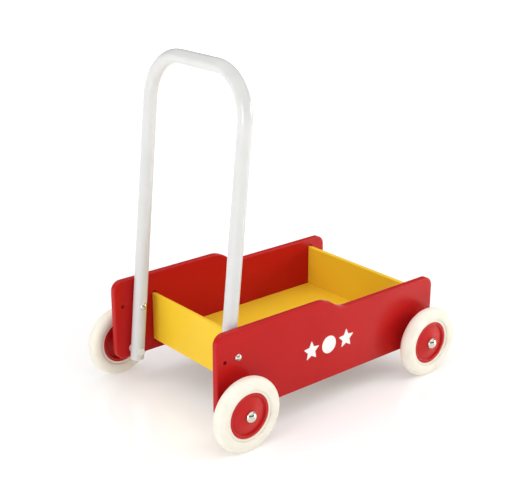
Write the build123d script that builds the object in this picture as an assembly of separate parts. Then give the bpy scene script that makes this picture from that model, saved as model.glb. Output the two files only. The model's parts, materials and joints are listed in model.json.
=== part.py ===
from build123d import *
from math import cos, radians, sin
import os

# A toddler's push wagon: a lacquered wooden tray on four wheels, with a bent tube handle to walk behind.
#
# Units are millimetres. The origin is on the floor, midway between the axles and midway between the sides.
# +X is the front, away from whoever pushes it, +Y is the wagon's left, and +Z is up.
# The handle turns on the rear axle bolts. A bolt through each leg holds it in one of two holes in each side
# panel: the forward hole, which is how it is modelled, or the rear hole, which stands empty.

# ---------------------------------------------------------------- side panels
wheelbase = 400.0
rear_overhang = 32.5            # from the rear axle to the panel's rear end
front_overhang = 37.5
body_width = 285.0              # over the two side panels
panel_thickness = 12.0
panel_below_axle = 15.5
panel_rear_height = 140.0       # from the panel's bottom edge
panel_front_height = 118.0
panel_corner_radius = 17.0
panel_edge_round = 2.5
step_run = 62.0                 # length of the S-shaped step in the top edge
step_centre_x = 5.0

# ---------------------------------------------------------------- tray
board_thickness = 8.0
board_height = 84.0
board_above_panel_bottom = 19.0
board_edge_round = 1.5
rear_board_ahead_of_axle = 42.7     # to the board's rear face
front_board_behind_axle = 0.7       # to the board's rear face
floor_thickness = 8.0
floor_above_panel_bottom = 30.0     # to the floor's top face
floor_tongue = 4.0
groove_depth = 4.0
wood_fit = 0.1                  # gap on each side of a board in its groove
dowel_radius = 2.5
dowel_length = 18.0
dowel_in_panel = 4.0            # beyond the groove's floor
dowel_fit = 0.05
dowel_heights = (0.25, 0.75)    # as shares of the board's height

# ---------------------------------------------------------------- wheels
wheel_radius = 60.5
wheel_offset = 29.0             # from the panel's outer face to the tyre's middle plane
tyre_section_radius = 11.6
tyre_bead_half_width = 7.9
tyre_groove_width = 0.8
tyre_groove_depth = 1.0
rim_radius = 37.0
rim_half_width = 6.9
rim_wall = 5.0
rim_flange = 2.5                # stands into the tyre's channel
rim_flange_half_width = 3.0
rim_fit = 0.05
rim_round = 0.8
hub_recess = 3.5                # the disc's edge lies this far behind the rim's face
hub_dish = 6.5                  # the disc's middle stands this much further out than its edge
hub_disc_thickness = 3.0
hub_boss_radius = 10.0
bush_wall = 2.0
wheel_end_play = 0.25

# ---------------------------------------------------------------- axle bolts and what is on them
axle_radius = 3.0
running_fit = 0.06
bolt_hole_fit = 0.1
thread_fit = 0.02
axle_head_radius = 9.5
axle_head_height = 6.8
washer_radius = 7.0
outer_washer_thickness = 1.0
inner_washer_thickness = 1.5
insert_radius = 4.5
insert_length = 7.5
insert_fit = 0.02
nut_across_flats = 10.0
nut_height = 5.5
bolt_past_nut = 0.6
nut_cap_radius = 6.3            # of the plug that closes the leg's hole over the nut
nut_cap_wall = 1.2
nut_cap_depth = 4.5
nut_cap_proud = 0.5             # beyond the leg's inner side
nut_cap_round = 0.4
spacer_radius = 8.0
spacer_thickness = 1.2

# ---------------------------------------------------------------- handle
tube_radius = 11.5
tube_wall = 1.5
tube_side_gap = 0.3             # between the leg and its spacer, and between the leg and the nut inside it
handle_reach = 502.0            # from the rear axle to the middle of the grip bar
handle_bend_radius = 73.0
tube_below_axle = 13.5
lean_forward = 5.7              # degrees from upright, bolts in the forward holes
lean_back = 12.3                # degrees from upright, bolts in the rear holes
plug_flange = 1.5
plug_depth = 6.5
plug_wall = 1.5
plug_fit = 0.05
adjuster_reach = 81.0           # from the rear axle to the adjusting bolt
adjuster_radius = 3.0
adjuster_hole_radius = 3.25     # in the side panels
adjuster_head_radius = 6.0
adjuster_head_height = 4.0
sleeve_nut_head_radius = 6.0
sleeve_nut_head_height = 3.2
sleeve_nut_radius = 4.2
sleeve_nut_length = 12.0
sleeve_nut_fit = 0.1            # around the sleeve, in the leg's inner wall
bolt_in_sleeve = 9.0

# ---------------------------------------------------------------- places worked out from the sizes
axle_z = wheel_radius
rear_x = -wheelbase / 2
front_x = wheelbase / 2
panel_out = body_width / 2
panel_in = panel_out - panel_thickness
panel_bottom = axle_z - panel_below_axle
panel_rear_x = rear_x - rear_overhang
panel_front_x = front_x + front_overhang
rear_top = panel_bottom + panel_rear_height
front_top = panel_bottom + panel_front_height

board_bottom = panel_bottom + board_above_panel_bottom
board_top = board_bottom + board_height
rear_board_x = rear_x + rear_board_ahead_of_axle + board_thickness / 2
front_board_x = front_x - front_board_behind_axle + board_thickness / 2
floor_top = panel_bottom + floor_above_panel_bottom
floor_bottom = floor_top - floor_thickness
floor_rear_x = rear_board_x + board_thickness / 2
floor_front_x = front_board_x - board_thickness / 2
groove_floor = panel_in + groove_depth

leg_y = panel_in - spacer_thickness - tube_side_gap - tube_radius
leg_inner_side = leg_y - tube_radius
nut_corner = nut_across_flats / 2 / cos(radians(30))
nut_seat = leg_y + ((tube_radius - tube_wall)**2 - nut_corner**2) ** 0.5 - tube_side_gap

# Along an axle, measured outwards from the panel's outer face.
rim_face = wheel_offset + rim_half_width
disc_edge = rim_face - hub_recess
disc_middle = disc_edge + hub_dish
boss_end = inner_washer_thickness + wheel_end_play
outer_washer_seat = disc_middle + wheel_end_play
head_seat = outer_washer_seat + outer_washer_thickness


# ---------------------------------------------------------------- helpers
def rod_along_y(x, z, y_low, y_high, radius):
    """A plain rod across the wagon."""
    return Pos(x, (y_low + y_high) / 2, z) * Rot(90, 0, 0) * Cylinder(radius, y_high - y_low)


def outwards(x, z, y):
    """A plane across the wagon whose own Z axis points to the wagon's left, out of the left side panel."""
    return Plane(origin=(x, y, z), x_dir=(1, 0, 0), z_dir=(0, 1, 0))


def band(inner, outer, low, high):
    """A rectangle to be turned about Z: between two radii and two places along the axis."""
    return Pos((inner + outer) / 2, (low + high) / 2) * Rectangle(outer - inner, high - low)


def turned(section):
    """A round piece, from its section with radius as X and the place along the axis as Y."""
    return revolve(Plane.XZ * section, Axis.Z, 360)


def ring(inner, outer, low, high):
    return turned(band(inner, outer, low, high))


def dome(radius, height, low):
    """A round cap like a slice of a ball, standing on a flat face at low."""
    ball = (radius**2 + height**2) / (2 * height)
    cap = Pos(0, 0, low + height - ball) * Sphere(ball)
    keep = Pos(0, 0, low + height / 2) * Cylinder(radius, height)
    return cap & keep


def hexagon(across_flats, low, high, bore):
    """A hexagon nut body with its corners bevelled, with a plain bore where the thread is."""
    corner = across_flats / 2 / cos(radians(30))
    body = Pos(0, 0, low) * extrude(RegularPolygon(corner, 6), high - low)
    bevel = Pos(0, 0, (low + high) / 2) * Cylinder(corner, high - low)
    bevel = chamfer(bevel.edges().filter_by(GeomType.CIRCLE), (corner - across_flats / 2) * 0.9)
    return (body & bevel) - Pos(0, 0, (low + high) / 2) * Cylinder(bore, high - low + 1)


def to_the_right(piece):
    return mirror(piece, Plane.XZ)


def on_handle(piece):
    """Leans a piece that was made on the upright handle forward to its place."""
    return piece.rotate(Axis((rear_x, 0, axle_z), (0, 1, 0)), lean_forward)


def adjuster_place(lean):
    """Where the adjusting bolt crosses a side panel, for a lean in degrees towards the front."""
    angle = radians(lean)
    return rear_x + adjuster_reach * sin(angle), axle_z + adjuster_reach * cos(angle)


# ---------------------------------------------------------------- tray
def side_panel():
    """The left side panel: an upright board with a stepped top edge, grooves for the tray, and its holes."""
    step_start = step_centre_x - step_run / 2
    step_end = step_centre_x + step_run / 2
    step_middle = (step_centre_x, (rear_top + front_top) / 2)
    outline = [
        Line((panel_rear_x, panel_bottom), (panel_front_x, panel_bottom)),
        Line((panel_front_x, panel_bottom), (panel_front_x, front_top)),
        Line((panel_front_x, front_top), (step_end, front_top)),
        TangentArc((step_end, front_top), step_middle, tangent=(-1, 0)),
        TangentArc((step_start, rear_top), step_middle, tangent=(1, 0)),
        Line((step_start, rear_top), (panel_rear_x, rear_top)),
        Line((panel_rear_x, rear_top), (panel_rear_x, panel_bottom)),
    ]
    face = make_face(outline)
    ends = [v for v in face.vertices() if v.X < panel_rear_x + 1 or v.X > panel_front_x - 1]
    face = fillet(ends, panel_corner_radius)
    outer_face = Plane(origin=(0, panel_out, 0), x_dir=(1, 0, 0), z_dir=(0, -1, 0))
    panel = extrude(outer_face * face, panel_thickness)
    rims = panel.faces().filter_by(Axis.Y).edges()
    panel = fillet(rims, panel_edge_round)

    inner_face = Plane(origin=(0, panel_in, 0), x_dir=(1, 0, 0), z_dir=(0, -1, 0))
    for x in (rear_board_x, front_board_x):
        slot = SlotCenterToCenter(board_height, board_thickness + 2 * wood_fit, rotation=90)
        slot = Pos(x, (board_bottom + board_top) / 2) * slot
        panel -= extrude(inner_face * slot, -groove_depth)
        for z in dowel_places():
            panel -= rod_along_y(x, z, panel_in, groove_floor + dowel_in_panel + dowel_fit,
                                 dowel_radius + dowel_fit)
    tongue_groove = Box(floor_front_x - floor_rear_x, groove_depth, floor_tongue + 2 * wood_fit)
    panel -= Pos((floor_rear_x + floor_front_x) / 2, panel_in + groove_depth / 2,
                 floor_bottom + floor_tongue / 2) * tongue_groove

    panel -= rod_along_y(rear_x, axle_z, panel_in - 1, panel_out + 1, axle_radius + bolt_hole_fit)
    panel -= rod_along_y(front_x, axle_z, panel_out - insert_length, panel_out + 1,
                         insert_radius + insert_fit)
    for lean in (lean_forward, -lean_back):
        x, z = adjuster_place(lean)
        panel -= rod_along_y(x, z, panel_in - 1, panel_out + 1, adjuster_hole_radius)
    return panel


def dowel_places():
    return [board_bottom + share * board_height for share in dowel_heights]


def end_board(x):
    """A cross board of the tray. Its ends stand in the side panels' grooves."""
    width = 2 * (groove_floor - wood_fit)
    board = Pos(x, 0, (board_bottom + board_top) / 2) * Box(board_thickness, width, board_height)
    long_edges = board.edges().filter_by(Axis.Y)
    board = fillet(long_edges, board_edge_round)
    depth = dowel_length - groove_depth - dowel_in_panel
    for z in dowel_places():
        for side in (-1, 1):
            low, high = sorted((side * (groove_floor - wood_fit), side * (panel_in - depth - dowel_fit)))
            board -= rod_along_y(x, z, low, high, dowel_radius + dowel_fit)
    return board


def end_board_dowels(x):
    """The four dowels of a cross board, two at each end."""
    high = groove_floor + dowel_in_panel
    left = [rod_along_y(x, z, high - dowel_length, high, dowel_radius) for z in dowel_places()]
    return Compound(left + [to_the_right(dowel) for dowel in left])


def floor_board():
    """The tray's floor, with a tongue along each side that stands in the side panels' grooves."""
    length = floor_front_x - floor_rear_x
    middle = (floor_rear_x + floor_front_x) / 2
    plate = Pos(middle, 0, (floor_bottom + floor_top) / 2)
    plate *= Box(length, 2 * (panel_in - wood_fit), floor_thickness)
    tongue = Pos(middle, 0, floor_bottom + floor_tongue / 2)
    tongue *= Box(length, 2 * (groove_floor - wood_fit), floor_tongue)
    return plate + tongue


# ---------------------------------------------------------------- wheels, along an axle
def tyre():
    """A solid rubber tyre: a round section on a flat bead, with a fine groove where the two meet."""
    centre = wheel_radius - tyre_section_radius
    section = Pos(centre, wheel_offset) * Circle(tyre_section_radius)
    section += band(rim_radius, centre, wheel_offset - tyre_bead_half_width,
                    wheel_offset + tyre_bead_half_width)
    section -= band(0, rim_radius + rim_fit, wheel_offset - wheel_radius, wheel_offset + wheel_radius)
    channel = rim_flange_half_width + rim_fit
    section -= band(0, rim_radius + rim_flange + rim_fit, wheel_offset - channel, wheel_offset + channel)
    rise = (tyre_section_radius**2 - (tyre_bead_half_width + tyre_groove_depth)**2) ** 0.5
    crease = centre - rise
    for side in (-1, 1):
        edge = wheel_offset + side * tyre_bead_half_width
        low, high = sorted((edge - side * tyre_groove_depth, edge + side * 3 * tyre_groove_depth))
        section -= band(crease - tyre_groove_width, crease, low, high)
    return turned(section)


def hub():
    """A moulded hub: a rim, a thin disc that rises like a flat cone, and a long boss towards the panel."""
    bore = axle_radius + running_fit + bush_wall
    section = band(rim_radius - rim_wall, rim_radius, rim_face - 2 * rim_half_width, rim_face)
    section = fillet(section.vertices(), rim_round)
    section += band(rim_radius - rim_wall / 2, rim_radius + rim_flange,
                    wheel_offset - rim_flange_half_width, wheel_offset + rim_flange_half_width)
    disc_radius = rim_radius - rim_wall / 2
    section += Polygon(
        (disc_radius, disc_edge - hub_disc_thickness),
        (disc_radius, disc_edge),
        (hub_boss_radius, disc_middle),
        (bore, disc_middle),
        (bore, disc_middle - hub_disc_thickness),
        (hub_boss_radius, disc_middle - hub_disc_thickness),
        align=None,
    )
    section += band(bore, hub_boss_radius, boss_end, disc_middle)
    return turned(section)


def bush():
    """A plastic sleeve, pressed into the hub, which turns on the axle bolt."""
    inner = axle_radius + running_fit
    return ring(inner, inner + bush_wall, boss_end, disc_middle)


def axle_bolt(tip):
    """A domed bolt: the axle of one wheel. tip is where its shank ends."""
    shank = Pos(0, 0, (head_seat + tip) / 2) * Cylinder(axle_radius, head_seat - tip)
    return shank + dome(axle_head_radius, axle_head_height, head_seat)


def outer_washer():
    return ring(axle_radius + bolt_hole_fit, washer_radius, outer_washer_seat, head_seat)


def inner_washer():
    return ring(axle_radius + bolt_hole_fit, washer_radius, 0, inner_washer_thickness)


def threaded_insert():
    """The insert in the side panel that a front axle bolt screws into."""
    return ring(axle_radius + thread_fit, insert_radius, -insert_length, 0)


def spacer():
    """The washer between the side panel and the handle's leg."""
    return ring(axle_radius + bolt_hole_fit, spacer_radius, 0, spacer_thickness)


def lock_nut():
    return hexagon(nut_across_flats, 0, nut_height, axle_radius + thread_fit)


def nut_cap():
    """The white plug that closes the hole in the leg's inner wall, over the nut. Its outer face is at 0."""
    cap = Pos(0, 0, -nut_cap_depth / 2) * Cylinder(nut_cap_radius, nut_cap_depth)
    cap = fillet(cap.edges().sort_by(Axis.Z)[-1], nut_cap_round)
    hollow = nut_cap_depth - nut_cap_wall
    return cap - Pos(0, 0, -nut_cap_wall - hollow / 2) * Cylinder(nut_cap_radius - nut_cap_wall, hollow)


# ---------------------------------------------------------------- handle, made upright
def handle_tube():
    """One round tube with two bends, cross drilled in both legs for the axle and for the adjusting bolt."""
    top = axle_z + handle_reach
    bottom = axle_z - tube_below_axle
    across = Plane(origin=(rear_x, 0, 0), x_dir=(0, 1, 0), z_dir=(1, 0, 0))
    path = across * FilletPolyline((-leg_y, bottom), (-leg_y, top), (leg_y, top), (leg_y, bottom),
                                   radius=handle_bend_radius)
    start = Plane(origin=path @ 0, z_dir=path % 0)
    tube = sweep(start * (Circle(tube_radius) - Circle(tube_radius - tube_wall)), path=path)
    adjuster_z = axle_z + adjuster_reach
    reach = leg_y + tube_radius + 1
    tube -= rod_along_y(rear_x, axle_z, -reach, reach, axle_radius + running_fit)
    tube -= rod_along_y(rear_x, axle_z, -leg_y, leg_y, nut_cap_radius + plug_fit)
    tube -= rod_along_y(rear_x, adjuster_z, -reach, reach, adjuster_radius + bolt_hole_fit)
    tube -= rod_along_y(rear_x, adjuster_z, -leg_y, leg_y, sleeve_nut_radius + sleeve_nut_fit)
    return tube


def end_plug():
    """The plastic plug in the open end of the left leg."""
    end = axle_z - tube_below_axle
    stem_radius = tube_radius - tube_wall - plug_fit
    flange = Pos(rear_x, leg_y, end - plug_flange / 2) * Cylinder(tube_radius, plug_flange)
    flange = fillet(flange.edges().sort_by(Axis.Z)[0], plug_flange * 0.6)
    stem = Pos(rear_x, leg_y, end + plug_depth / 2) * Cylinder(stem_radius, plug_depth)
    stem -= Pos(rear_x, leg_y, end + plug_depth / 2) * Cylinder(stem_radius - plug_wall, plug_depth)
    return flange + stem


def adjusting_bolt():
    """The domed bolt through the left side panel and leg."""
    tip = leg_inner_side + sleeve_nut_length - bolt_in_sleeve
    shank = rod_along_y(rear_x, axle_z + adjuster_reach, tip, panel_out, adjuster_radius)
    head = outwards(rear_x, axle_z + adjuster_reach, panel_out)
    return shank + head * dome(adjuster_head_radius, adjuster_head_height, 0)


def sleeve_nut():
    """The nut on the adjusting bolt: a sleeve inside the left leg, with a low domed head on its inner side."""
    place = Plane(origin=(rear_x, leg_inner_side, axle_z + adjuster_reach), x_dir=(1, 0, 0), z_dir=(0, -1, 0))
    sleeve = Pos(0, 0, -sleeve_nut_length / 2) * Cylinder(sleeve_nut_radius, sleeve_nut_length)
    head = dome(sleeve_nut_head_radius, sleeve_nut_head_height, 0)
    depth = bolt_in_sleeve + 1
    bore = Pos(0, 0, depth / 2 - sleeve_nut_length) * Cylinder(adjuster_radius + thread_fit, depth)
    return place * (sleeve + head - bore)


# ---------------------------------------------------------------- the whole wagon
def wagon():
    """Every separate piece, by name."""
    pieces = {
        "floor_board": floor_board(),
        "front_board": end_board(front_board_x),
        "rear_board": end_board(rear_board_x),
        "front_board_dowels": end_board_dowels(front_board_x),
        "rear_board_dowels": end_board_dowels(rear_board_x),
        "handle_tube": on_handle(handle_tube()),
    }
    front_tip = -insert_length
    rear_tip = nut_seat - nut_height - bolt_past_nut - panel_out
    rear_nut = Plane(origin=(rear_x, nut_seat, axle_z), x_dir=(1, 0, 0), z_dir=(0, -1, 0))
    cap_face = Plane(origin=(rear_x, leg_inner_side - nut_cap_proud, axle_z), x_dir=(1, 0, 0), z_dir=(0, -1, 0))
    inside = Plane(origin=(rear_x, panel_in, axle_z), x_dir=(1, 0, 0), z_dir=(0, -1, 0))
    left = {
        "{side}_side_panel": side_panel(),
        "front_{side}_insert": outwards(front_x, axle_z, panel_out) * threaded_insert(),
        "rear_{side}_spacer": inside * spacer(),
        "rear_{side}_lock_nut": rear_nut * lock_nut(),
        "rear_{side}_nut_cap": cap_face * nut_cap(),
        "{side}_end_plug": on_handle(end_plug()),
        "{side}_adjusting_bolt": on_handle(adjusting_bolt()),
        "{side}_sleeve_nut": on_handle(sleeve_nut()),
    }
    for end, x, tip in (("front", front_x, front_tip), ("rear", rear_x, rear_tip)):
        hub_plane = outwards(x, axle_z, panel_out)
        left[end + "_{side}_tyre"] = hub_plane * tyre()
        left[end + "_{side}_hub"] = hub_plane * hub()
        left[end + "_{side}_bush"] = hub_plane * bush()
        left[end + "_{side}_axle_bolt"] = hub_plane * axle_bolt(tip)
        left[end + "_{side}_outer_washer"] = hub_plane * outer_washer()
        left[end + "_{side}_inner_washer"] = hub_plane * inner_washer()
    for name, piece in left.items():
        pieces[name.format(side="left")] = piece
        pieces[name.format(side="right")] = to_the_right(piece)
    return pieces


os.makedirs("parts", exist_ok=True)
for name, piece in wagon().items():
    export_step(piece, f"parts/{name}.step")
    size = piece.bounding_box().size
    volume = sum(solid.volume for solid in piece.solids())
    print(f"{name}: {volume:.0f} mm3, {size.X:.1f} x {size.Y:.1f} x {size.Z:.1f}")
spare_x, spare_z = adjuster_place(-lean_back)
print(f"spare holes at x {spare_x:.3f}, z {spare_z:.3f}; handle travel {lean_forward + lean_back:.1f} degrees")
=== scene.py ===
# %% [markdown]
# # A toddler's push wagon, dressed in Blender
#
# The wagon is a small open tray: two red side panels, two yellow cross boards and a floor. It runs
# on four wheels with solid rubber tyres, and a bent white tube stands behind it for a child to
# hold. Every size, hole and joint comes from a finished CAD model. This lesson loads that model,
# keeps its parts where they are, and adds what the eye looks for: lacquer, powder coat, rubber,
# moulded plastic and polished metal.

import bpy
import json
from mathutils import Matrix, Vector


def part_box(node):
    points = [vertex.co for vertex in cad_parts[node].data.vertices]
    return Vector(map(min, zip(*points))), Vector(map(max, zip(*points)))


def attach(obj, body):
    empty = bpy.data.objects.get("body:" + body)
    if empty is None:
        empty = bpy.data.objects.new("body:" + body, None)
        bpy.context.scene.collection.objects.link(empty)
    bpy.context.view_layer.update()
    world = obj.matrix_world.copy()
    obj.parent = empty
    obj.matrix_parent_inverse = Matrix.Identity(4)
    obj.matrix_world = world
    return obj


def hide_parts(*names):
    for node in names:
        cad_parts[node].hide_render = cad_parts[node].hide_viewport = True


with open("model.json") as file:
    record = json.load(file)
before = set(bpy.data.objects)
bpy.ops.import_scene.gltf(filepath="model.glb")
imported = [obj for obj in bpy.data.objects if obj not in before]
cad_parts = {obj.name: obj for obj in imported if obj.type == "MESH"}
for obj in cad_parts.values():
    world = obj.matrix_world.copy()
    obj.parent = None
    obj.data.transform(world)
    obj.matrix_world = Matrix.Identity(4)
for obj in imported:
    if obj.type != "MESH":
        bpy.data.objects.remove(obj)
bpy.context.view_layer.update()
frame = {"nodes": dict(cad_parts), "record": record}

# %% [markdown]
# ## Tools and units
#
# Blender works in metres. Small parts are easier to read in millimetres, so one named factor turns
# millimetres into metres wherever a small size is written.

# %% Tools and units
import json
from math import asin, atan2, cos, pi, radians, sin, tan

import bmesh
import bpy
from mathutils import Matrix, Vector

mm = 0.001
SIDES = {"left": 1, "right": -1}
ENDS = ("front", "rear")
WHEELS = [(f"{end}_{side}", way) for end in ENDS for side, way in SIDES.items()]
print("wheels:", [wheel for wheel, way in WHEELS])

# %% [markdown]
# ## The camera
#
# A product picture of a wagon is usually taken from behind and to one side, a little above, with a
# fairly long lens, so that the far side doesn't shrink. The camera is turned with a matrix made of
# its three own directions: right, up and back. That is exact, and it needs no tracking constraint
# that would fight a later view.

# %% The camera
camera_place = Vector((-1.12295, -1.29868, 0.86343))
camera_azimuth = radians(-40.35)
camera_elevation = radians(20.14)
camera_roll = radians(0.21)

back = Vector((
    sin(camera_azimuth) * cos(camera_elevation),
    -cos(camera_azimuth) * cos(camera_elevation),
    sin(camera_elevation),
))
level_right = (-back).cross(Vector((0, 0, 1))).normalized()
level_up = back.cross(level_right)
right = level_right * cos(camera_roll) + level_up * sin(camera_roll)
up = level_up * cos(camera_roll) - level_right * sin(camera_roll)

lens = bpy.data.cameras.new("camera")
lens.lens = 74.73
lens.sensor_width = 36.0
camera = bpy.data.objects.new("camera", lens)
camera_turn = Matrix((right, up, back)).transposed().to_4x4()
camera.matrix_world = Matrix.Translation(camera_place) @ camera_turn
bpy.context.scene.collection.objects.link(camera)
bpy.context.scene.camera = camera
print("camera", [round(v, 3) for v in camera.location], "with a lens of", lens.lens, "mm")

# %% [markdown]
# ## How a finish is built
#
# A finish is one Principled shader. What is the same all over the surface, such as how metallic it
# is or how strongly it mirrors, is typed on the shader's own socket. What varies a little, as it
# does on any real surface, comes from noise: one noise shifts the colour, another the roughness,
# and a bump makes the small relief. The noise reads the object's own coordinates, so it stays on
# the part when the part moves.


# %% Node helpers
def new_finish(name, roughness, metallic=0.0, specular=0.5):
    """A material with the values that don't vary. Colour and relief are added by the helpers below."""
    material = bpy.data.materials.new(name)
    material.use_nodes = True
    shader = material.node_tree.nodes["Principled BSDF"]
    shader.inputs["Roughness"].default_value = roughness
    shader.inputs["Metallic"].default_value = metallic
    shader.inputs["Specular IOR Level"].default_value = specular
    return material


def shader_of(material):
    return material.node_tree.nodes["Principled BSDF"]


def noise(material, patch, detail=2.0, stretch=(1.0, 1.0, 1.0)):
    """Noise whose patches are about `patch` metres across. stretch draws them out along an axis."""
    nodes = material.node_tree.nodes
    links = material.node_tree.links
    place = nodes.new("ShaderNodeTexCoord")
    mapping = nodes.new("ShaderNodeMapping")
    mapping.inputs["Scale"].default_value = [1.0 / s for s in stretch]
    links.new(place.outputs["Object"], mapping.inputs["Vector"])
    texture = nodes.new("ShaderNodeTexNoise")
    texture.inputs["Scale"].default_value = 1.0 / patch
    texture.inputs["Detail"].default_value = detail
    links.new(mapping.outputs["Vector"], texture.inputs["Vector"])
    return texture.outputs["Fac"]


def vary_colour(material, value, low, high):
    """Runs the base colour from low to high with a noise value."""
    nodes = material.node_tree.nodes
    ramp = nodes.new("ShaderNodeValToRGB")
    ramp.color_ramp.elements[0].position = 0.3
    ramp.color_ramp.elements[1].position = 0.7
    ramp.color_ramp.elements[0].color = (*low, 1.0)
    ramp.color_ramp.elements[1].color = (*high, 1.0)
    links = material.node_tree.links
    links.new(value, ramp.inputs["Fac"])
    links.new(ramp.outputs["Color"], shader_of(material).inputs["Base Color"])


def vary_roughness(material, value, low, high):
    """Runs the roughness from low to high with a noise value."""
    remap = material.node_tree.nodes.new("ShaderNodeMapRange")
    remap.inputs["To Min"].default_value = low
    remap.inputs["To Max"].default_value = high
    links = material.node_tree.links
    links.new(value, remap.inputs["Value"])
    links.new(remap.outputs["Result"], shader_of(material).inputs["Roughness"])


def add_relief(material, value, height):
    """Adds a bump of `height` metres. A second call stacks a second bump on the first."""
    nodes = material.node_tree.nodes
    links = material.node_tree.links
    bump = nodes.new("ShaderNodeBump")
    bump.inputs["Distance"].default_value = height
    links.new(value, bump.inputs["Height"])
    normal = shader_of(material).inputs["Normal"]
    if normal.is_linked:
        links.new(normal.links[0].from_socket, bump.inputs["Normal"])
    links.new(bump.outputs["Normal"], normal)


print("finish helpers are ready")

# %% [markdown]
# ## Lacquered wood
#
# The boards are sanded flat and sprayed with several coats of opaque gloss lacquer. Close to, such
# a surface isn't a mirror: the spray leaves a fine orange peel a few millimetres across, and the
# wood below moves a little, which bends reflections in long soft waves. Two bumps of different size
# give both. The shader gets a low roughness, which keeps reflections tight, and a weak specular
# level, which keeps them faint, so that the colour stays deep. The yellow boards get the same
# treatment with a slightly softer gloss.


# %% Lacquered wood
def lacquer(name, low, high, roughness):
    material = new_finish(name, roughness, specular=0.14)
    vary_colour(material, noise(material, 0.12, detail=3.0), low, high)
    add_relief(material, noise(material, 0.05, detail=1.0, stretch=(3.0, 1.0, 1.0)), 0.10 * mm)
    add_relief(material, noise(material, 2.5 * mm, detail=1.0), 0.006 * mm)
    return material


red_lacquer = lacquer("red_lacquer", (0.46, 0.0085, 0.008), (0.50, 0.0105, 0.010), 0.22)
yellow_lacquer = lacquer("yellow_lacquer", (0.88, 0.57, 0.030), (0.92, 0.61, 0.036), 0.24)
print("made", red_lacquer.name, "and", yellow_lacquer.name)

# %% [markdown]
# ## Bare undersides
#
# Boards are often sprayed while they lie on a bench, and the side that lies down stays bare. Light
# that comes up from the table under the tray is then grey and not yellow. There is no second part
# to dress, so the material itself asks which way each face looks: the Z part of the object's own
# normal is -1 on a face that looks straight down. A test against that number picks between the
# lacquer's colour and the colour of the wood.


# %% Bare undersides
def bare_underneath(material, wood_colour, nearly_down=-0.99):
    """Shows bare wood on the faces that look straight down."""
    nodes = material.node_tree.nodes
    links = material.node_tree.links
    place = nodes.new("ShaderNodeTexCoord")
    parts_of_normal = nodes.new("ShaderNodeSeparateXYZ")
    links.new(place.outputs["Normal"], parts_of_normal.inputs["Vector"])
    looks_down = nodes.new("ShaderNodeMath")
    looks_down.operation = "LESS_THAN"
    looks_down.inputs[1].default_value = nearly_down
    links.new(parts_of_normal.outputs["Z"], looks_down.inputs[0])
    mix = nodes.new("ShaderNodeMix")
    mix.data_type = "RGBA"
    links.new(looks_down.outputs["Value"], mix.inputs["Factor"])
    colour = shader_of(material).inputs["Base Color"]
    links.new(colour.links[0].from_socket, mix.inputs["A"])
    mix.inputs["B"].default_value = (*wood_colour, 1.0)
    links.new(mix.outputs["Result"], colour)


bare_underneath(yellow_lacquer, (0.42, 0.36, 0.28))
print("the faces that look down are bare on", yellow_lacquer.name)

# %% [markdown]
# ## Powder coat
#
# The steel tube is coated with plastic powder that melts in an oven. It flows out thick and glossy,
# with a shallow dimpled skin. A bump with patches of about 4 mm gives the dimples.

# %% Powder coat
powder_coat = new_finish("white_powder_coat", 0.14, specular=0.5)
vary_colour(powder_coat, noise(powder_coat, 0.03), (0.61, 0.61, 0.597), (0.64, 0.64, 0.63))
add_relief(powder_coat, noise(powder_coat, 4 * mm, detail=1.0), 0.02 * mm)
print("made", powder_coat.name)

# %% [markdown]
# ## Rubber and plastic
#
# The tyres are solid, soft and matt, a warm ivory that has gone very slightly uneven in the mould.
# The hubs are moulded in red plastic with a sheen like the lacquer's but flatter. Small parts that
# hold the wheels are plain bearing plastic. The plugs that close the tube's ends and its nut holes
# are moulded white.

# %% Rubber and plastic
rubber = new_finish("ivory_rubber", 0.5, specular=0.35)
vary_colour(rubber, noise(rubber, 0.02, detail=4.0), (0.84, 0.80, 0.68), (0.90, 0.87, 0.77))
vary_roughness(rubber, noise(rubber, 6 * mm, detail=3.0), 0.42, 0.58)
add_relief(rubber, noise(rubber, 8 * mm, detail=2.0), 0.05 * mm)
add_relief(rubber, noise(rubber, 0.6 * mm, detail=1.0), 0.006 * mm)

red_plastic = new_finish("red_plastic", 0.3, specular=0.2)
vary_colour(red_plastic, noise(red_plastic, 0.03), (0.50, 0.010, 0.009), (0.55, 0.013, 0.012))
vary_roughness(red_plastic, noise(red_plastic, 0.012, detail=3.0), 0.26, 0.36)
add_relief(red_plastic, noise(red_plastic, 0.015, detail=1.0), 0.04 * mm)

bearing_plastic = new_finish("bearing_plastic", 0.45)
vary_colour(bearing_plastic, noise(bearing_plastic, 3 * mm), (0.66, 0.64, 0.57), (0.74, 0.72, 0.66))

white_plastic = new_finish("white_plastic", 0.3)
vary_colour(white_plastic, noise(white_plastic, 4 * mm), (0.78, 0.78, 0.76), (0.82, 0.82, 0.80))
add_relief(white_plastic, noise(white_plastic, 1.0 * mm), 0.004 * mm)
print("made", [m.name for m in (rubber, red_plastic, bearing_plastic, white_plastic)])

# %% [markdown]
# ## Metals, bare wood and ink
#
# The bolt heads are polished and plated to a warm silver, the washers and nuts are zinc plated, and
# the threaded inserts are brass. A metal's colour is its reflection, so almost all of the work is
# done by roughness. Bare beech shows only on the hidden dowels. The printed shapes on the panels
# are one thin coat of matt white ink.


# %% Metals, bare wood and ink
def metal(name, low, high, smooth, rough, patch):
    """A metal whose colour and roughness both change in patches about `patch` metres across."""
    material = new_finish(name, smooth, metallic=1.0)
    vary_colour(material, noise(material, patch), low, high)
    vary_roughness(material, noise(material, patch / 2, detail=4.0), smooth, rough)
    return material


chrome = metal("chrome", (0.60, 0.57, 0.49), (0.65, 0.62, 0.54), 0.05, 0.10, 4 * mm)
zinc = metal("zinc", (0.48, 0.49, 0.50), (0.60, 0.61, 0.62), 0.28, 0.42, 2 * mm)
brass = metal("brass", (0.68, 0.48, 0.19), (0.76, 0.56, 0.25), 0.22, 0.34, 2 * mm)

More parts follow.
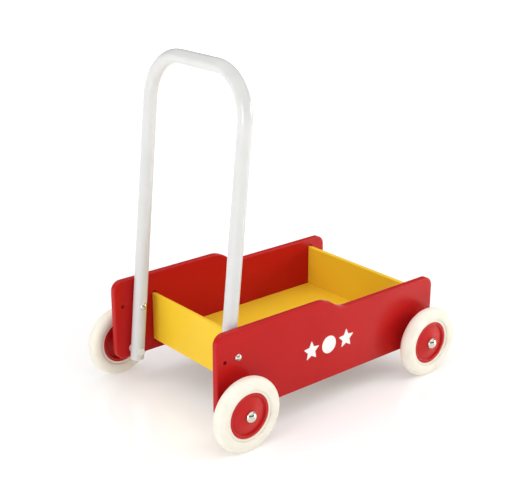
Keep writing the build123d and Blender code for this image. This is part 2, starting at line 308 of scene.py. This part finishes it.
beech = new_finish("bare_beech", 0.6)
grain = noise(beech, 1.5 * mm, detail=4.0, stretch=(1.0, 8.0, 1.0))
vary_colour(beech, grain, (0.55, 0.38, 0.22), (0.70, 0.52, 0.34))

ink = new_finish("white_ink", 0.42)
vary_colour(ink, noise(ink, 5 * mm, 3.0), (0.84, 0.84, 0.83), (0.89, 0.89, 0.88))
add_relief(ink, noise(ink, 0.8 * mm), 0.004 * mm)
print("made", [m.name for m in (chrome, zinc, brass, beech, ink)])

# %% [markdown]
# ## Dress the CAD parts
#
# Boards, panels, tube, washers and nuts already have their true shape, down to the rounded edges.
# They stay as they are and only get a finish. The CAD record names a finish for every part, so one
# small table is enough.

# %% Dress the CAD parts
finishes = {
    "red_lacquered_wood": red_lacquer,
    "yellow_lacquered_wood": yellow_lacquer,
    "bare_wood": beech,
    "white_powder_coat": powder_coat,
    "white_plastic": white_plastic,
    "ivory_rubber": rubber,
    "red_plastic": red_plastic,
    "natural_plastic": bearing_plastic,
    "chrome_plate": chrome,
    "zinc_plate": zinc,
    "brass": brass,
}
for part in frame["record"]["subparts"]:
    for material_slot in frame["nodes"][part["node"]].material_slots:
        material_slot.material = finishes[part["material_slot"]]

# %% [markdown]
# ## How round parts are made
#
# Tyres, hubs and bolts are round, so each is one outline turned about its axle. An outline is a
# list of corners: the distance from the axle, the place along it, and how much the corner is
# rounded. Real moulded and turned parts have no sharp corners, and it is the tiny round edge that
# catches the light, so the rounding is made as geometry and not left to a bump.


# %% Round corners
def softened(corners, pieces=5):
    """Turns corners of (radius, place, rounding) into points, with an arc at each rounded corner."""
    points = []
    for number, (x, y, rounding) in enumerate(corners):
        here = Vector((x, y))
        if rounding == 0:
            points.append(here)
            continue
        before = (Vector(corners[number - 1][:2]) - here).normalized()
        after = (Vector(corners[(number + 1) % len(corners)][:2]) - here).normalized()
        half = before.angle(after) / 2
        middle = here + (before + after).normalized() * rounding / sin(half)
        start = here + before * rounding / tan(half) - middle
        end = here + after * rounding / tan(half) - middle
        first = atan2(start.y, start.x)
        sweep = (atan2(end.y, end.x) - first + pi) % (2 * pi) - pi
        for step in range(pieces + 1):
            angle = first + sweep * step / pieces
            points.append(middle + rounding * Vector((cos(angle), sin(angle))))
    return points


square = [(0, 0, 0.2), (1, 0, 0.2), (1, 1, 0.2), (0, 1, 0.2)]
print("a 1 mm square with round corners has", len(softened(square)), "points")


# %% Turn an outline
def finished_mesh(name, form, material, crease=35):
    """Writes a bmesh to a new object. Its shading is smooth but for edges sharper than crease."""
    bmesh.ops.remove_doubles(form, verts=form.verts, dist=1e-7)
    bmesh.ops.recalc_face_normals(form, faces=form.faces)
    for face in form.faces:
        face.smooth = True
    mesh = bpy.data.meshes.new(name)
    form.to_mesh(mesh)
    form.free()
    mesh.set_sharp_from_angle(angle=radians(crease))
    mesh.materials.append(material)
    piece = bpy.data.objects.new(name, mesh)
    bpy.context.scene.collection.objects.link(piece)
    return piece


def turned(name, outline, centre, way, material, steps=144):
    """Turns an outline in millimetres about an axle. One that starts on the axle stays open there."""
    form = bmesh.new()
    closed = outline[0][0] > 0
    rings = []
    for step in range(steps):
        angle = 2 * pi * step / steps
        ring = []
        for radius, place in outline:
            from_centre = Vector((radius * cos(angle), way * place, radius * sin(angle)))
            ring.append(form.verts.new(centre + mm * from_centre))
        rings.append(ring)
    spans = len(outline) if closed else len(outline) - 1
    for step, ring in enumerate(rings):
        beside = rings[(step + 1) % steps]
        for k in range(spans):
            after = (k + 1) % len(outline)
            form.faces.new((ring[k], ring[after], beside[after], beside[k]))
    return finished_mesh(name, form, material)


print("turning helper is ready")

# %% [markdown]
# ## Tyres
#
# The tyre's section is nearly round, a little squarer than a circle, so that the side wall looks
# flat. Next to the hub it ends in a narrow lip, and a fine groove parts the lip from the side wall.
# The section is written as a superellipse: a circle's formula with a power that squares it. A power
# of 2 would be a plain circle. The lip is a list of corners, and the section is set in where the lip
# has its only two sharp corners, at the feet of the side walls.

# %% The tyre's outline
wheel_radius = 60.5
section_radius = 11.6
section_centre = wheel_radius - section_radius
squareness = 2.25
lip_half_width = 7.9
groove_depth = 0.7
rim_radius = 37.05
channel_radius = 39.55
channel_half_width = 3.05
groove_inside = 40.66
groove_outside = 41.46


def on_section(angle):
    """A point of the tyre's section, with angle 0 at the tread and 90 degrees at the side wall."""
    power = 2 / squareness
    across = abs(cos(angle)) ** power * (1 if cos(angle) >= 0 else -1)
    along = abs(sin(angle)) ** power * (1 if sin(angle) >= 0 else -1)
    return section_centre + section_radius * across, section_radius * along


last = pi - asin((1 - ((section_centre - groove_outside) / section_radius) ** squareness) ** 0.5)
wall_steps = 56
section = [on_section(last - 2 * last * step / wall_steps) for step in range(wall_steps + 1)]
lip = [
    (rim_radius, -lip_half_width, 0.6),
    (rim_radius, -channel_half_width, 0.2),
    (channel_radius, -channel_half_width, 0.2),
    (channel_radius, channel_half_width, 0.2),
    (rim_radius, channel_half_width, 0.2),
    (rim_radius, lip_half_width, 0.6),
    (groove_inside, lip_half_width, 0.5),
    (groove_inside, lip_half_width - groove_depth, 0.25),
    (groove_outside, lip_half_width - groove_depth, 0.25),
    (groove_outside, lip_half_width, 0),
    (groove_outside, -lip_half_width, 0),
    (groove_outside, groove_depth - lip_half_width, 0.25),
    (groove_inside, groove_depth - lip_half_width, 0.25),
    (groove_inside, -lip_half_width, 0.5),
]
first_sharp = next(k for k, (radius, place, rounding) in enumerate(lip) if rounding == 0)
wall_foot = Vector(lip[first_sharp][:2])
lip_points = softened(lip)
join = next(k for k, point in enumerate(lip_points) if tuple(point) == tuple(wall_foot))
tyre_outline = lip_points[:join] + [Vector(point) for point in section] + lip_points[join + 2:]
print("the tyre's outline has", len(tyre_outline), "points")

# %% Tyres on their wheels
wheel_centres = {}
for wheel, way in WHEELS:
    low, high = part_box(wheel + "_tyre")
    wheel_centres[wheel] = (low + high) / 2
    tyre = turned(wheel + "_rubber_tyre", tyre_outline, wheel_centres[wheel], way, rubber)
    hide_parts(wheel + "_tyre")
    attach(tyre, wheel + "_wheel")
print("made 4 tyres of", len(tyre.data.polygons), "faces each")

# %% [markdown]
# ## Hubs
#
# A hub is one moulding. Its rim stands proud all round, and a thin disc fills it a few millimetres
# back. The disc is a flat cone that rises to the middle, so its gloss runs out from the bolt in a
# wedge, as on a cymbal. A rib in the middle of the rim keys into the tyre, and a long boss behind
# the disc keeps the wheel square on its axle. Where the disc meets the rim the mould has a generous
# radius, which is why that step looks soft in the light.

# %% Hubs
bore_radius = 5.06
boss_radius = 10.0
boss_back = -27.25
boss_front = 9.9
rim_inside = 32.0
rim_outside = 37.0
rim_half_width = 6.9
rib_radius = 39.5
rib_half_width = 3.0
hub_outline = softened([
    (bore_radius, boss_front, 0.25),
    (bore_radius, boss_back, 0.25),
    (boss_radius, boss_back, 0.6),
    (boss_radius, rim_half_width, 1.2),
    (rim_inside, 1.2, 1.2),
    (rim_inside, -rim_half_width, 0.9),
    (rim_outside, -rim_half_width, 0.9),
    (rim_outside, -rib_half_width, 0.15),
    (rib_radius, -rib_half_width, 0.3),
    (rib_radius, rib_half_width, 0.3),
    (rim_outside, rib_half_width, 0.15),
    (rim_outside, rim_half_width, 0.9),
    (rim_inside, rim_half_width, 0.9),
    (rim_inside, 3.5, 1.0),
    (boss_radius, boss_front, 6.0),
])
for wheel, way in WHEELS:
    hub = turned(wheel + "_moulded_hub", hub_outline, wheel_centres[wheel], way, red_plastic)
    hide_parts(wheel + "_hub")
    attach(hub, wheel + "_wheel")
print("made 4 hubs of", len(hub.data.polygons), "faces each")

# %% [markdown]
# ## Domed bolts
#
# Each wheel turns on its own bolt, whose head is a polished dome. The dome's arc is worked out from
# its radius and height, and it starts from a short upright skirt, as a pressed and plated head
# does. The adjusting bolts that hold the handle are the same shape, only smaller. The CAD part's
# box says where a bolt's head ends and how long the bolt is, so no length is typed twice.


# %% Domed bolts
def domed_bolt(shank_radius, head_radius, head_height, shank_length, skirt=0.6):
    """The outline of a bolt whose head sits on place 0 and points outwards."""
    rise = head_height - skirt
    dome_radius = (head_radius**2 + rise**2) / (2 * rise)
    widest = asin(head_radius / dome_radius)
    arc_steps = 20
    outline = [
        Vector((0, -shank_length)),
        Vector((shank_radius - 0.5, -shank_length)),
        Vector((shank_radius, 0.5 - shank_length)),
        Vector((shank_radius, 0)),
        Vector((head_radius - 0.15, 0)),
        Vector((head_radius, 0.15)),
    ]
    for step in range(arc_steps + 1):
        angle = widest * (1 - step / arc_steps)
        drop = dome_radius * (1 - cos(angle))
        outline.append(Vector((dome_radius * sin(angle), head_height - drop)))
    return outline


def place_bolt(name, node, body, way, centre, head_radius, head_height, steps):
    """Turns a domed bolt in place of a CAD bolt and lets it ride on its body."""
    low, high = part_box(node)
    outer_end = max(low.y * way, high.y * way)
    length = (high.y - low.y) / mm - head_height
    seat = centre.copy()
    seat.y = way * (outer_end - head_height * mm)
    outline = domed_bolt(bolt_radius, head_radius, head_height, length)
    bolt = turned(name, outline, seat, way, chrome, steps)
    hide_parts(node)
    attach(bolt, body)


bolt_radius = 3.0
for wheel, way in WHEELS:
    middle = wheel_centres[wheel]
    place_bolt(wheel + "_domed_axle", wheel + "_axle_bolt", "chassis", way, middle, 9.5, 6.8, 72)
for side, way in SIDES.items():
    node = side + "_adjusting_bolt"
    low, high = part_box(node)
    place_bolt(side + "_domed_adjuster", node, "handle", way, (low + high) / 2, 6.0, 4.0, 60)
print("made 4 axle bolts and 2 adjusting bolts")

# %% [markdown]
# ## Printed shapes
#
# Toy panels are often screen printed. Here it is a plain row of shapes, a ball between two stars,
# in white ink. Each shape is a real layer 0.15 mm thick, so that its edge catches light as ink
# does, and it is printed on both side panels.

# %% Printed shapes
ink_thickness = 0.15
shape_radius = 17.5
ball_share = 0.86
shape_pitch = 38.0
print_centre_x = -5.0
print_centre_z = 106.0


def star(radius, points=5, inner_share=0.47):
    """A star with slightly rounded tips, as corners for softened()."""
    corners = []
    for k in range(2 * points):
        reach = radius if k % 2 == 0 else radius * inner_share
        angle = pi / 2 + pi * k / points
        corners.append((reach * cos(angle), reach * sin(angle), 0.9))
    return softened(corners)


def ball(radius, steps=64):
    """A plain round spot."""
    angles = [2 * pi * k / steps for k in range(steps)]
    return [Vector((radius * cos(angle), radius * sin(angle))) for angle in angles]


panel_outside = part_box("left_side_panel")[1].y
for side, way in SIDES.items():
    form = bmesh.new()
    row = (star(shape_radius), ball(shape_radius * ball_share), star(shape_radius))
    for number, outline in enumerate(row):
        middle_x = print_centre_x + (number - 1) * shape_pitch
        under, over = (
            [form.verts.new((
                mm * (middle_x + point.x),
                way * (panel_outside + lift * mm),
                mm * (print_centre_z + point.y),
            )) for point in outline]
            for lift in (0.0, ink_thickness)
        )
        form.faces.new(under)
        form.faces.new(over)
        for k in range(len(outline)):
            after = (k + 1) % len(outline)
            form.faces.new((under[k], under[after], over[after], over[k]))
    printed = finished_mesh(side + "_printed_shapes", form, ink)
    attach(printed, "chassis")
print("printed", len(row), "shapes on each side panel")

# %% [markdown]
# ## Studio floor
#
# The wagon stands on a glossy white table, whose gloss gives faint reflections of the wheels and
# boards. A white table in a studio is usually lit from below or flooded with light further out, so
# that it turns pure white and has no visible end. Here the table glows by itself: weakly under the
# wagon, where soft shadows should stay, and more strongly further away. The glow is read from the
# distance to the middle of the table.


# %% Studio floor
def eased(nodes, links, value, from_low, from_high, to_low, to_high):
    """Maps a value from one range to another, with a soft start and a soft end."""
    remap = nodes.new("ShaderNodeMapRange")
    remap.interpolation_type = "SMOOTHSTEP"
    remap.inputs["From Min"].default_value = from_low
    remap.inputs["From Max"].default_value = from_high
    remap.inputs["To Min"].default_value = to_low
    remap.inputs["To Max"].default_value = to_high
    links.new(value, remap.inputs["Value"])
    return remap.outputs["Result"]


gloss_white = new_finish("gloss_white_table", 0.12, specular=0.35)
vary_colour(gloss_white, noise(gloss_white, 0.8), (0.86, 0.86, 0.86), (0.87, 0.87, 0.87))
table_nodes = gloss_white.node_tree.nodes
table_links = gloss_white.node_tree.links
from_wagon = table_nodes.new("ShaderNodeVectorMath")
from_wagon.operation = "LENGTH"
table_links.new(table_nodes.new("ShaderNodeTexCoord").outputs["Object"], from_wagon.inputs[0])
glow = eased(table_nodes, table_links, from_wagon.outputs["Value"], 0.3, 1.5, 0.20, 0.75)
table_links.new(glow, shader_of(gloss_white).inputs["Emission Strength"])
shader_of(gloss_white).inputs["Emission Color"].default_value = (1.0, 1.0, 1.0, 1.0)

table_size = 240.0
form = bmesh.new()
bmesh.ops.create_grid(form, x_segments=8, y_segments=8, size=table_size / 2)
table = finished_mesh("studio_table", form, gloss_white)
print("the table is", table_size, "m across")

# %% [markdown]
# ## Studio room
#
# The room is a world that changes with height. It is white low down, where the table ends, so that
# table and room run together in a low view. Above that it is dim, as a room is beside the lamps,
# and straight overhead it is a bright soft ceiling. The dim band is what polished bolt heads need:
# a metal dome in an all-white room shows nothing to mirror and looks like chalk. The maximum of two
# eased ramps gives all three bands.

# %% Studio room
room = bpy.data.worlds.new("white_room")
room.use_nodes = True
room_nodes = room.node_tree.nodes
room_links = room.node_tree.links
height = room_nodes.new("ShaderNodeSeparateXYZ")
room_links.new(room_nodes.new("ShaderNodeTexCoord").outputs["Generated"], height.inputs["Vector"])
ceiling = eased(room_nodes, room_links, height.outputs["Z"], 0.30, 0.85, 0.06, 1.34)
horizon = eased(room_nodes, room_links, height.outputs["Z"], 0.12, 0.26, 1.0, 0.0)
brightness = room_nodes.new("ShaderNodeMath")
brightness.operation = "MAXIMUM"
room_links.new(ceiling, brightness.inputs[0])
room_links.new(horizon, brightness.inputs[1])
room_links.new(brightness.outputs["Value"], room_nodes["Background"].inputs["Strength"])
room_nodes["Background"].inputs["Color"].default_value = (1.0, 1.0, 1.0, 1.0)
bpy.context.scene.world = room
bpy.context.scene.view_settings.view_transform = "Standard"
print("the room's light comes from", room.name)

# %% [markdown]
# ## Soft lights
#
# Two square soft lights stand at either side, a little above the wagon. The one on the left is
# weaker and the one on the right is stronger and slightly warm. Each gives the bolt heads a clear
# highlight, and together they shape the round tube with one bright line on either side.


# %% Soft lights
def soft_light(name, place, target, size, watts, colour=(1.0, 1.0, 1.0)):
    """A square area light that points at target."""
    data = bpy.data.lights.new(name, "AREA")
    data.shape = "SQUARE"
    data.size = size
    data.energy = watts
    data.color = colour
    light = bpy.data.objects.new(name, data)
    light.location = place
    light.rotation_euler = (Vector(target) - Vector(place)).to_track_quat("-Z", "Y").to_euler()
    bpy.context.scene.collection.objects.link(light)
    return light


wagon_middle = (0, 0, 0.15)
left_light = soft_light("left_light", (-2.3, -0.7, 0.8), wagon_middle, 0.9, 16)
right_light = soft_light("right_light", (2.2, -1.6, 0.8), wagon_middle, 0.9, 26, (1.0, 0.96, 0.89))
print("lights:", [(light.name, light.data.energy) for light in (left_light, right_light)])
